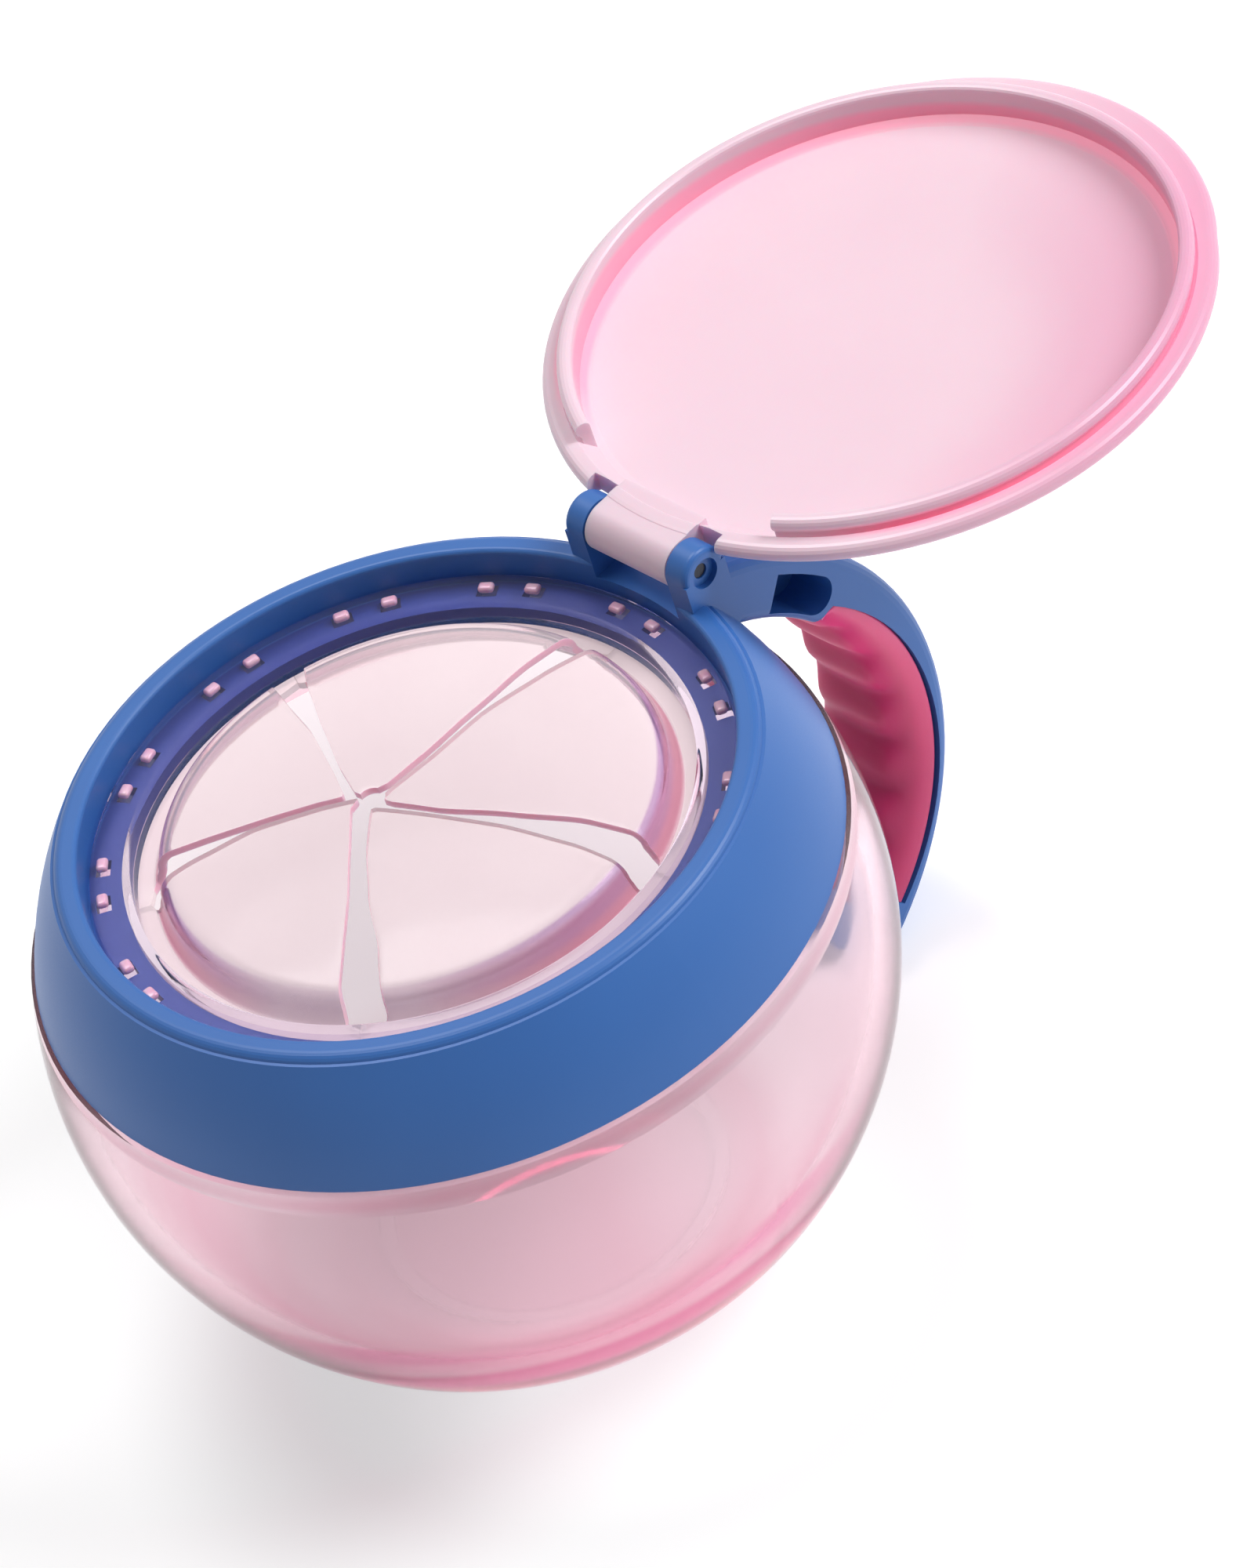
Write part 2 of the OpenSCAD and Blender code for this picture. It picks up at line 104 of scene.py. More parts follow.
def mathNode(tree, kind, first, second=None):
    node = tree.nodes.new("ShaderNodeMath")
    node.operation = kind
    for socket, value in zip(node.inputs, (first, second)):
        if value is None:
            continue
        if isinstance(value, (int, float)):
            socket.default_value = value
        else:
            tree.links.new(value, socket)
    return node.outputs[0]


def product(tree, first, *others):
    for other in others:
        first = mathNode(tree, "MULTIPLY", first, other)
    return first


# Distance from a line through a point, in metres. The axes kept are the two across the line
def radiusAbout(tree, vector, point=(0, 0, 0), kept=(1, 1, 0)):
    shift, flat, far = [tree.nodes.new("ShaderNodeVectorMath") for _ in range(3)]
    shift.operation, flat.operation, far.operation = "SUBTRACT", "MULTIPLY", "LENGTH"
    shift.inputs[1].default_value = point
    flat.inputs[1].default_value = kept
    tree.links.new(vector, shift.inputs[0])
    tree.links.new(shift.outputs["Vector"], flat.inputs[0])
    tree.links.new(flat.outputs["Vector"], far.inputs[0])
    return far.outputs["Value"]


def dotWith(tree, vector, axis):
    node = tree.nodes.new("ShaderNodeVectorMath")
    node.operation = "DOT_PRODUCT"
    node.inputs[1].default_value = axis
    tree.links.new(vector, node.inputs[0])
    return node.outputs["Value"]


# Share that a distance gives, from how far the scale reaches and its stops, in millimetres
def band(tree, value, reachMm, stops):
    scaled = mathNode(tree, "DIVIDE", value, reachMm * mm)
    return ramp(tree, scaled, [(at / reachMm, (share,) * 3) for at, share in stops])


def blendColour(tree, fac, first, second):
    node = tree.nodes.new("ShaderNodeMix")
    node.data_type = "RGBA"
    tree.links.new(fac, node.inputs["Factor"])
    for socket, value in zip((node.inputs[6], node.inputs[7]), (first, second)):
        if isinstance(value, tuple):
            socket.default_value = (*value, 1)
        else:
            tree.links.new(value, socket)
    return node.outputs[2]


def srgb(r, g, b):
    return tuple(((c / 255 + 0.055) / 1.055) ** 2.4 if c > 10 else c / 3294.6 for c in (r, g, b))


# Slow change between a finish's two colours
def cloudy(tree, place, p):
    low, high = p["colours"]
    return ramp(tree, noise(tree, place, *p["cloud"]), [(0.3, low), (0.7, high)])


# Gives a shader its colour, fine grain and plain values
def polish(tree, shader, place, colour, p):
    grain = noise(tree, place, *p["grain"])
    tree.links.new(colour, shader.inputs["Base Color"])
    tree.links.new(span(tree, grain, *p["roughness"]), shader.inputs["Roughness"])
    if "bump" in p:
        tree.links.new(bump(tree, grain, *p["bump"]), shader.inputs["Normal"])
    for socket, value in p["values"].items():
        shader.inputs[socket].default_value = value


# In the finishes, cloud and grain are a noise's scale, detail and roughness, roughness is from
# and to, bump is strength and depth in metres, values are the shader's own, and the numbers of
# radii, heights and places across are as band takes them
collarFinish = {
    "colours": (srgb(46, 99, 170), srgb(50, 104, 176)),
    # painted shade of the flange's recess
    "flange": srgb(32, 58, 138),
    "flangeShadeRadii": (60, [(33.6, 0), (33.9, 1), (38.1, 1), (38.3, 0)]),
    "flangeShadeHeights": (80, [(60, 0), (61, 1), (66.1, 1), (66.5, 0)]),
    "cloud": (35, 2),
    "grain": (5200, 2, 0.6),
    "roughness": (0.34, 0.46),
    "bump": (0.12, 0.00003),
    "values": {"Specular IOR Level": 0.45, "Subsurface Weight": 0.06, "Subsurface Scale": 0.002},
}


# Satin polypropylene of the collar, with a faint moulding grain
def bluePlastic():
    p = collarFinish
    mat, tree, shader, place = newMaterial("bluePlastic")
    bright = cloudy(tree, place, p)
    # painted shade: where the flange lies low in the collar, under its clear skin, it is painted a
    # darker blue for the shade of that recess
    across = band(tree, radiusAbout(tree, place), *p["flangeShadeRadii"])
    under = band(tree, dotWith(tree, place, upward), *p["flangeShadeHeights"])
    colour = blendColour(tree, product(tree, across, under), bright, p["flange"])
    polish(tree, shader, place, colour, p)
    return mat


lidFinish = {
    "colours": (srgb(229, 200, 213), srgb(232, 205, 217)),
    # of the open lid, twice as far out as the pin of its hinge
    "middle": (0, pinLow.y + pinHigh.y, 0),
    "pastHinge": (80, [(49, 0), (56, 1)]),
    # painted shade and glow of the rim's inner wall and its groove
    "rose": srgb(254, 172, 198),
    "wallRadii": (40, [(34.6, 0), (35.4, 1), (36.7, 1), (36.9, 0)]),
    "shadedWallHeights": (80, [(74.6, 0), (75, 1), (77.9, 1), (78.7, 0)]),
    "shadedGrooveRadii": (40, [(37.3, 0), (37.6, 1), (38.4, 1), (39, 0)]),
    "shadedGrooveHeights": (80, [(76.2, 0), (76.6, 1), (77.6, 1), (78.3, 0)]),
    # painted shade of the floor, away from the key light
    "floorShade": srgb(222, 160, 188),
    "floorShadeAcross": (80, [(48, 0), (77, 0.95)]),
    "insideHeights": (80, [(73.4, 0), (74.2, 1)]),
    "cloud": (26, 3),
    "grain": (3800, 2),
    "roughness": (0.26, 0.36),
    "bump": (0.08, 0.00003),
    "values": {"Subsurface Weight": 0.35, "Subsurface Radius": (1, 0.35, 0.5),
               "Subsurface Scale": 0.003},
}


# Opaque pale pink of the lid
def lidPlastic():
    p = lidFinish
    mat, tree, shader, place = newMaterial("lidPlastic")
    pale = cloudy(tree, place, p)
    height = dotWith(tree, place, upward)
    fromMiddle = radiusAbout(tree, place, p["middle"])
    # painted shade and glow: the rim's inner wall and its groove are painted rose, for the shade
    # they lie in and the light that the rim holds
    pastHinge = band(tree, dotWith(tree, place, (0, 1, 0)), *p["pastHinge"])
    walls = band(tree, fromMiddle, *p["wallRadii"])
    wall = product(tree, walls, band(tree, height, *p["shadedWallHeights"]), pastHinge)
    grooves = band(tree, fromMiddle, *p["shadedGrooveRadii"])
    groove = product(tree, grooves, band(tree, height, *p["shadedGrooveHeights"]), pastHinge)
    rose = mathNode(tree, "MAXIMUM", wall, groove)
    # and painted shade darkens the floor towards the far side of the key light
    floorShade = band(tree, dotWith(tree, place, rightward), *p["floorShadeAcross"])
    floorShade = product(tree, floorShade, band(tree, height, *p["insideHeights"]))
    pale = blendColour(tree, floorShade, pale, p["floorShade"])
    polish(tree, shader, place, blendColour(tree, rose, pale, p["rose"]), p)
    return mat


# Lets lamps and scattered light through a clear material, tinted, so that what it holds is lit
def lightThrough(tree, shader, tint):
    path = tree.nodes.new("ShaderNodeLightPath")
    rays = [path.outputs[kind] for kind in ("Is Shadow Ray", "Is Diffuse Ray")]
    either = mathNode(tree, "MAXIMUM", *rays)
    clear = tree.nodes.new("ShaderNodeBsdfTransparent")
    clear.inputs["Color"].default_value = (*tint, 1)
    mix = tree.nodes.new("ShaderNodeMixShader")
    for socket, source in zip(mix.inputs, (either, shader.outputs[0], clear.outputs[0])):
        tree.links.new(source, socket)
    tree.links.new(mix.outputs[0], tree.nodes["Material Output"].inputs["Surface"])


# Pink of a clear plastic, which deepens with its thickness
def dye(tree, colour, density):
    absorb = tree.nodes.new("ShaderNodeVolumeAbsorption")
    absorb.inputs["Color"].default_value = (*colour, 1)
    absorb.inputs["Density"].default_value = density
    tree.links.new(absorb.outputs[0], tree.nodes["Material Output"].inputs["Volume"])


bowlFinish = {
    "colours": ((0.985, 0.968, 0.976), (0.99, 0.982, 0.986)),
    "neckColour": (0.84, 0.5, 0.6),
    "neckHeights": (80, [(53, 0), (53.6, 0.5), (54.2, 0.5), (55, 0)]),
    "radius": 0.05,                # of the bowl; across and near are counted from its edge
    "near": (100, [(44, 0), (70, 1)]),
    "wideRadii": (50, [(24, 0), (34, 1)]),
    # painted shade and edge-on depth of the wall and its corner, towards the viewer
    "wallColour": (0.87, 0.3, 0.46),
    "wallAcross": (100, [(14, 0), (35, 0.04), (56, 0.28), (78, 0.34), (92, 0.05)]),
    "bottomUp": (-0.013, 0.211, 1),
    "bottomHeights": (50, [(2, 0), (4, 0.2), (20.2, 0.26), (21.8, 0)]),
    "cornerColour": (0.84, 0.16, 0.4),
    "cornerHeights": (80, [(3, 0.05), (10, 0.12), (15, 0.45), (17, 0.9), (20.6, 0.9), (22.2, 0)]),
    "cornerAcross": (100, [(22, 0.2), (42, 1)]),
    "cloud": (18, 2),
    "grain": (60, 3),
    "roughness": (0.05, 0.11),
    "values": {"Transmission Weight": 0.94, "IOR": 1.15},
    "through": (0.9, 0.95, 0.935),
    "dye": ((0.9, 0.02, 0.3), 30),
}


# Clear tinted plastic of the bowl, a little milky
def clearPlastic():
    p = bowlFinish
    mat, tree, shader, place = newMaterial("clearPlastic")
    height = dotWith(tree, place, upward)
    # the foot of the neck shows as a thin line under the collar
    neckLine = band(tree, height, *p["neckHeights"])
    pale = blendColour(tree, neckLine, cloudy(tree, place, p), p["neckColour"])
    # painted shade: on the side towards the viewer the wall is painted a deeper pink, most in the
    # middle and more so at the thick bottom and along its corner, for the shade seen through it
    # and the thick dyed plastic seen edge on
    depth = mathNode(tree, "ADD", dotWith(tree, place, nearward), p["radius"])
    across = mathNode(tree, "ADD", dotWith(tree, place, rightward), p["radius"])
    near = band(tree, depth, *p["near"])
    nearWide = product(tree, near, band(tree, radiusAbout(tree, place), *p["wideRadii"]))
    bottom = band(tree, dotWith(tree, place, p["bottomUp"]), *p["bottomHeights"])
    wall = mathNode(tree, "MAXIMUM", bottom, band(tree, across, *p["wallAcross"]))
    pale = blendColour(tree, product(tree, wall, nearWide), pale, p["wallColour"])
    corner = band(tree, height, *p["cornerHeights"])
    corner = product(tree, corner, nearWide, band(tree, across, *p["cornerAcross"]))
    polish(tree, shader, place, blendColour(tree, corner, pale, p["cornerColour"]), p)
    lightThrough(tree, shader, p["through"])
    dye(tree, *p["dye"])
    return mat


softFinish = {
    # two colours, transmission, index of refraction and the glow of scattered light
    "kinds": {
        "softPetal": ((0.93, 0.82, 0.84), (0.95, 0.85, 0.865), 0.78, 1.2, 0),
        "softEdge": ((0.94, 0.5, 0.6), (0.97, 0.56, 0.66), 0.1, 1.2, 0.7),
        "softFlat": ((0.94, 0.8, 0.82), (0.96, 0.83, 0.85), 0.4, 1.08, 0),
        "softRim": ((0.86, 0.82, 0.9), (0.9, 0.86, 0.93), 0.98, 1.06, 0),
        "softLining": ((0.95, 0.8, 0.82), (0.97, 0.84, 0.86), 0.9, 1.04, 0),
    },
    "wallRadii": (40, [(28.8, 0), (29.1, 1), (30.7, 1), (30.85, 0)]),
    # painted: the walls' colour where they are seen edge on
    "paintedWallColours": ((0.86, 0.74, 0.79), (0.8, 0.38, 0.48)),
    "sides": (40, [(8, 0.12), (24, 1)]),
    # painted shade of the crease at the petals' shoulders
    "creaseShadeRadii": (40, [(28.6, 0), (28.9, 1), (29.2, 1), (29.6, 0)]),
    "creaseShadeColour": (0.56, 0.34, 0.62),
    "cloud": (60, 3),
    "grain": (140, 3),
    "roughness": (0.06, 0.14),
    "bump": (0.2, 0.0002),
    "glowRadius": (1, 0.45, 0.6),
    "glowScale": 0.0015,
    "through": (0.95, 0.92, 0.93),
}


# The petals' side walls are seen edge on at the left and the right, where they look rose; they are
# painted rose there, for the deeper colour that light takes through them edge on, and painted
# shade darkens the crease at their shoulders
def petalWalls(tree, place, colour):
    p = softFinish
    fromMiddle = radiusAbout(tree, place)
    across = mathNode(tree, "ABSOLUTE", dotWith(tree, place, rightward))
    sides = band(tree, across, *p["sides"])
    wall = blendColour(tree, sides, *p["paintedWallColours"])
    colour = blendColour(tree, band(tree, fromMiddle, *p["wallRadii"]), colour, wall)
    paintedCrease = product(tree, band(tree, fromMiddle, *p["creaseShadeRadii"]), sides)
    return blendColour(tree, paintedCrease, colour, p["creaseShadeColour"])


# Soft clear elastomer of the mouth
def softClear(name):
    low, high, clear, ior, glow = softFinish["kinds"][name]
    p = {**softFinish, "colours": (low, high)}
    p["values"] = {"Transmission Weight": clear, "IOR": ior, "Subsurface Weight": glow,
                   "Subsurface Radius": p["glowRadius"], "Subsurface Scale": p["glowScale"]}
    mat, tree, shader, place = newMaterial(name)
    colour = cloudy(tree, place, p)
    if name == "softPetal":
        colour = petalWalls(tree, place, colour)
    polish(tree, shader, place, colour, p)
    lightThrough(tree, shader, p["through"])
    return mat


gripFinish = {
    "colours": (srgb(236, 84, 134), srgb(242, 96, 144)),
    "centre": (0, 0.0309, 0.0332),    # of the handle's curve
    # painted shade between the ridges
    "valley": srgb(240, 50, 130),
    "valleyShadeRadii": (40, [(30.5, 0), (31.1, 0.2), (31.5, 1), (32.2, 1), (33.5, 0)]),
    "lower": srgb(184, 38, 98),
    "lowerHeights": (80, [(20, 0.95), (46, 0)]),
    "cloud": (80, 3),
    "grain": (4200, 3, 0.6),
    "roughness": (0.42, 0.58),
    "bump": (0.2, 0.00004),
    "values": {"Subsurface Weight": 0.5, "Subsurface Radius": (1, 0.2, 0.45),
               "Subsurface Scale": 0.004},
}


# Satin rose elastomer of the grip, with painted shade deepening it between its ridges, and deeper
# towards its lower end
def gripRubber():
    p = gripFinish
    mat, tree, shader, place = newMaterial("gripRubber")
    rose = cloudy(tree, place, p)
    valleys = band(tree, radiusAbout(tree, place, p["centre"], (0, 1, 1)), *p["valleyShadeRadii"])
    rose = blendColour(tree, valleys, rose, p["valley"])
    lower = band(tree, dotWith(tree, place, upward), *p["lowerHeights"])
    polish(tree, shader, place, blendColour(tree, lower, rose, p["lower"]), p)
    return mat


# The two small finishes have the same noise for their colour and their grain
pegFinish = {
    "colours": (srgb(244, 184, 206), srgb(252, 208, 222)),
    "cloud": (900, 2),
    "grain": (900, 2),
    "roughness": (0.15, 0.3),
    "values": {"Subsurface Weight": 0.5, "Subsurface Scale": 0.001},
}
pinFinish = {
    # painted shade: near black, for the shade of the pin's recess
    "colours": ((0.012, 0.015, 0.03), (0.025, 0.03, 0.05)),
    "cloud": (2400, 2),
    "grain": (2400, 2),
    "roughness": (0.25, 0.4),
    "values": {"Metallic": 0.3},
}


# Rose rubber of the pegs, or the steel of the pin, painted near black for the shade of the recess
# it sits in
def smallFinish(name, p):
    mat, tree, shader, place = newMaterial(name)
    polish(tree, shader, place, cloudy(tree, place, p), p)
    return mat


def wear(obj, *mats):
    obj.data.materials.clear()
    for mat in mats:
        obj.data.materials.append(mat)


def makePiece(name, bm, body, mats, smoothAngle, outward=True):
    if outward:
        bmesh.ops.recalc_face_normals(bm, faces=bm.faces)
    mesh = bpy.data.meshes.new(name)
    bm.to_mesh(mesh)
    bm.free()
    obj = bpy.data.objects.new(name, mesh)
    scene.collection.objects.link(obj)
    wear(obj, *mats)
    mesh.shade_smooth()
    mesh.set_sharp_from_angle(angle=radians(smoothAngle))
    if body:
        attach(obj, body)
    return obj


# Turns the live modifiers of a piece into its mesh
def settle(obj):
    bpy.context.view_layer.update()
    live = obj.evaluated_get(bpy.context.evaluated_depsgraph_get())
    done = bpy.data.meshes.new_from_object(live)
    obj.modifiers.clear()
    obj.data = done


def arc(centre, radius, start, end, steps):
    turns = [radians(start + (end - start) * i / steps) for i in range(steps + 1)]
    return [(centre[0] + radius * cos(turn), centre[1] + radius * sin(turn)) for turn in turns]


# Spins a closed outline of (radius, height) points in millimetres into a ring or a solid
def spinOutline(outline, steps=160):
    bm = bmesh.new()
    verts = [bm.verts.new((r * mm, 0, z * mm)) for r, z in outline]
    edges = [bm.edges.new((a, b)) for a, b in zip(verts, verts[1:] + verts[:1])]
    bmesh.ops.spin(bm, geom=verts + edges, cent=(0, 0, 0), axis=upward, angle=2 * pi,
                   steps=steps, use_merge=True)
    bmesh.ops.remove_doubles(bm, verts=bm.verts, dist=1e-7)
    return bm


def smoothStep(x):
    x = min(1, max(0, x))
    return x * x * (3 - 2 * x)


# Value at place t of a line through evenly spaced values, eased a little towards each of them
def along(values, t):
    t = min(0.9999, max(0, t)) * (len(values) - 1)
    i = int(t)
    step = values[i + 1] - values[i]
    return values[i] + step * smoothStep(t - i) * 0.4 + step * (t - i) * 0.6


softPetal, softEdge, softFlat, softRim, softLining = map(softClear, softFinish["kinds"])
print("soft materials made")

wear(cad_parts["collar"], bluePlastic())
wear(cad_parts["lid"], lidPlastic())
wear(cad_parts["hinge_pin"], smallFinish("pinSteel", pinFinish))
wear(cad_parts["bowl"], clearPlastic())
print("moulded parts finished")

# Lengths in millimetres, angles in degrees
petalSet = {
    "count": 5,
    "meet": (-2.2, -3.2),      # where the slits meet
    "aim": 40.8,               # the slits point from there to even places on this circle
    "bend": 31.4,              # the slits end here
    "slitEnd": 0.9,            # length over which a slit's end is rounded
    "clearance": 0.015,        # kept free on each side of a slit, so that petals don't touch
    "out": 32.95,              # the membrane runs out to here, under the lining
    "low": 62.5,               # underside of the membrane
    "thick": 0.95,
    "wallHeight": 4.4,
    "wallTop": 29.9,           # radius of the side wall at its top
    "wallFoot": 30.7,
    "shoulder": 2.6,           # rounding between the side wall and the dome
    "rise": 1.8,               # of the dome over the shoulder
    # outwards from the wall's top or foot, and up from the membrane, where the wall meets it
    "fillet": (0.35, 1.1),
    "footCurve": ((-0.2, 0.45), (0.05, 0.12), (0.35, 0)),
    "footRows": (31.25, 31.6, 32.2),    # radii of the rows on the flat membrane
    "flatFrom": 0.2,           # the clearer flat edge starts this far from the wall's foot
    "tip": 1.3,                # rounding of a petal's tip
    "opening": 1.3,            # from the meeting point to the tips
    "openingMost": 8,
    "openingStep": 0.05,
    "leastTip": 0.02,          # radians between a petal's edges where its tip starts
    "firstRow": 0.35,          # how far the first row lies from the tip, in rows
    "cutEdge": 0.12,           # bevel of the cut edges, where they turn by more than the angle
    "cutAngle": 50,
    # how far each slit's left and right edges lie from its straight line, from the middle outwards
    "left": {90: (0.1, 0.3, 1.2, 2.3, 2.4), 18: (-0.1, 0.0, 1.2, 2.4, 2.2),
             306: (0.1, 0.1, 0.9, 2.5, 3.2), 234: (-0.6, -1.3, -1.6, -0.4, 1.4),
             162: (2.6, 2.1, 2.0, 2.8, 3.5)},
    "right": {90: (-0.6, -0.7, 0.0, -0.6, -1.8), 18: (-1.2, -0.9, -0.7, -1.3, -2.8),
              306: (-2.4, -1.9, -1.5, -1.6, -1.8), 234: (-1.2, -2.1, -2.5, -2.9, -3.3),
              162: (1.2, 1.3, 0.7, -0.1, -1.4)},
    "across": 40,              # points across a petal
    "inward": 26,              # rows of points on its dome
    "foldFrom": 30.5,          # radii at which the petal's fold starts and ends
    "foldTo": 18,
}


# Distance from the meeting point to the circle of that radius, in a direction
def reach(direction, radius):
    x0, y0 = petalSet["meet"]
    ahead = x0 * cos(direction) + y0 * sin(direction)
    return -ahead + sqrt(ahead * ahead - x0 * x0 - y0 * y0 + radius * radius)


# Direction of a slit's edge as seen from the meeting point, at a distance from it
def slitEdge(azimuth, side, distance):
    p = petalSet
    x0, y0 = p["meet"]
    turn = radians(azimuth)
    line = atan2(p["aim"] * sin(turn) - y0, p["aim"] * cos(turn) - x0)
    full = reach(line, p["bend"])
    offset = along(p[side][azimuth % 360], distance / full)
    # beyond the bend the slit closes with a rounded end
    past = (distance - full + p["slitEnd"]) / p["slitEnd"]
    if past > 0:
        offset *= sqrt(max(0, 1 - smoothStep(past) ** 2))
    offset += p["clearance"] if side == "left" else -p["clearance"]
    return line + asin(max(-1, min(1, offset / max(distance, 0.05))))


# Directions of a petal's two edges at a distance from the meeting point
def petalEdges(i, distance):
    between = 360 // petalSet["count"]
    first = slitEdge(90 + between * i, "left", distance)
    second = slitEdge(90 + between * (i + 1), "right", distance)
    return first, second + 2 * pi if second < first - 1 else second


# Section of a petal outside its dome, as (radius, height) of its top
def petalRim():
    p = petalSet
    foot = p["low"] + p["thick"]
    top = foot + p["wallHeight"]
    inner = p["wallTop"] - p["shoulder"]
    domeR = (inner ** 2 + p["rise"] ** 2) / (2 * p["rise"])
    lean = degrees(asin(inner / domeR))
    outline = arc((inner, top - p["shoulder"]), p["shoulder"], 90 - lean, 0, 8)[1:]
    outline += [(p["wallTop"] + p["fillet"][0], foot + p["fillet"][1])]
    outline += [(p["wallFoot"] + outwards, foot + up) for outwards, up in p["footCurve"]]
    outline += [(radius, foot) for radius in (*p["footRows"], p["out"])]
    return inner, top + p["rise"] - domeR, domeR, outline


def petal(i):
    p = petalSet
    inner, domeZ, domeR, rim = petalRim()
    rows, columns = p["inward"] + len(rim), p["across"]
    start = p["opening"]
    while start < p["openingMost"]:
        first, second = petalEdges(i, start)
        if second - first >= p["leastTip"]:
            break
        start += p["openingStep"]
    bm = bmesh.new()
    bmesh.ops.create_grid(bm, x_segments=rows - 1, y_segments=columns - 1, size=1)
    for v in bm.verts:
        row = round((v.co.x + 1) / 2 * (rows - 1))
        t = (v.co.y + 1) / 2
        onDome = row < p["inward"]
        share = min(1, (row + p["firstRow"]) / (p["inward"] - 1))
        far = start + share * (inner - start)
        # how far out a point lies and its direction depend on each other
        for attempt in range(4):
            first, second = petalEdges(i, far)
            u = min(1, (far - start) / p["tip"])
            width = (second - first) * sqrt(max(0, 1 - (1 - u) ** 2))
            direction = (first + second) / 2 + (t - 0.5) * width
            if onDome:
                far = start + share * (reach(direction, inner) - start)
            else:
                far = reach(direction, rim[row - p["inward"]][0])
        x = p["meet"][0] + far * cos(direction)
        y = p["meet"][1] + far * sin(direction)
        z = domeZ + sqrt(domeR ** 2 - hypot(x, y) ** 2) if onDome else rim[row - p["inward"]][1]
        v.co = Vector((x, y, z)) * mm
    bmesh.ops.recalc_face_normals(bm, faces=bm.faces)
    if sum(f.normal.z for f in bm.faces) < 0:
        bmesh.ops.reverse_faces(bm, faces=bm.faces)
    name = "petal%d" % (i + 1)
    obj = makePiece(name, bm, None, (softPetal, softEdge), 180, outward=False)
    wall = obj.modifiers.new("thickness", "SOLIDIFY")
    wall.thickness, wall.offset, wall.material_offset_rim = p["thick"] * mm, -1, 1
    soft = obj.modifiers.new("edge", "BEVEL")
    soft.width, soft.segments = p["cutEdge"] * mm, 2
    soft.limit_method, soft.angle_limit = "ANGLE", radians(p["cutAngle"])
    settle(obj)
    obj.data.materials.append(softFlat)
    for face in obj.data.polygons:
        if hypot(face.center.x, face.center.y) > (p["wallFoot"] + p["flatFrom"]) * mm:
            face.material_index = 2
    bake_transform(obj)
    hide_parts("flap_petal_%d" % (i + 1))


for i in range(petalSet["count"]):
    petal(i)

# Lengths in millimetres, angles in degrees
ringSet = {
    "liningIn": 33.0,
    "liningOut": 34.06,
    "liningRound": 0.5,        # at the top, and the bevel at the foot
    "liningFoot": 0.15,
    "liningDraft": 0.02,
    "skinOut": 37.8,
    "skinRound": 0.45,
    "flangeTop": 65.91,
    "skin": 0.78,              # thickness on the flange
    "low": 62.5,
    "web": 0.98,               # thickness of the seal under the flange
    "webOut": 42.55,
    "roseLine": (0.4, 0.65),   # its width outwards and its height, round the top of the lining
}


def softRing():
    p = ringSet
    top = p["flangeTop"] + p["skin"]
    lip, edge = p["liningRound"], p["skinRound"]
    web, foot = p["low"] + p["web"], p["liningFoot"]
    outline = [(p["liningIn"], p["low"] + foot), (p["liningIn"] - p["liningDraft"], top - 0.7)]
    outline += arc((p["liningIn"] + lip, top - lip), lip, 180, 90, 5)
    outline += [(p["liningOut"] + 0.05, top)]
    outline += arc((p["skinOut"] - edge, top - edge), edge, 90, 0, 5)
    outline += [(p["skinOut"], p["flangeTop"]), (p["liningOut"], p["flangeTop"])]
    outline += [(p["liningOut"], web), (p["webOut"], web), (p["webOut"], p["low"])]
    outline += [(p["liningIn"] + foot, p["low"])]
    bm = spinOutline(outline[::-1])
    for face in bm.faces:
        middle = face.calc_center_median()
        radius, height = hypot(middle.x, middle.y) / mm, middle.z / mm
        if radius < p["liningIn"] + p["roseLine"][0] and height > top - p["roseLine"][1]:
            face.material_index = 2
        elif radius < p["liningOut"] - 0.05:
            face.material_index = 1     # the lining
        elif height < p["flangeTop"] - 0.1:
            face.material_index = 3     # the web under the flange
    mats = (softRim, softLining, softEdge, softFlat)
    ring = makePiece("softRing", bm, "collar", mats, 50)
    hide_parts("flap_ring")


# Pegs in pairs round the ring. Their size is across, outwards and up, in millimetres
pegSet = {"pairs": 13, "spread": 4.6, "size": (1.36, 1.95, 0.9), "radius": 36.61, "height": 65.5,
          "round": 0.42}


def slotPegs():
    p = pegSet
    bm = bmesh.new()
    for i in range(p["pairs"]):
        for hand in (-1, 1):
            made = bmesh.ops.create_cube(bm, size=1)["verts"]
            bmesh.ops.scale(bm, vec=[side * mm for side in p["size"]], verts=made)
            bmesh.ops.translate(bm, vec=(p["radius"] * mm, 0, p["height"] * mm), verts=made)
            turn = Matrix.Rotation(radians(90 + i * 360 / p["pairs"] + hand * p["spread"]), 3, "Z")
            bmesh.ops.rotate(bm, cent=(0, 0, 0), matrix=turn, verts=made)
    bmesh.ops.bevel(bm, geom=bm.edges[:], offset=p["round"] * mm, affect="EDGES", segments=4,
                    profile=0.5, material=-1)
    rubber = smallFinish("pegRubber", pegFinish)
    makePiece("slotPegs", bm, "collar", (rubber,), 60)


softRing()
slotPegs()
print("soft mouth made")

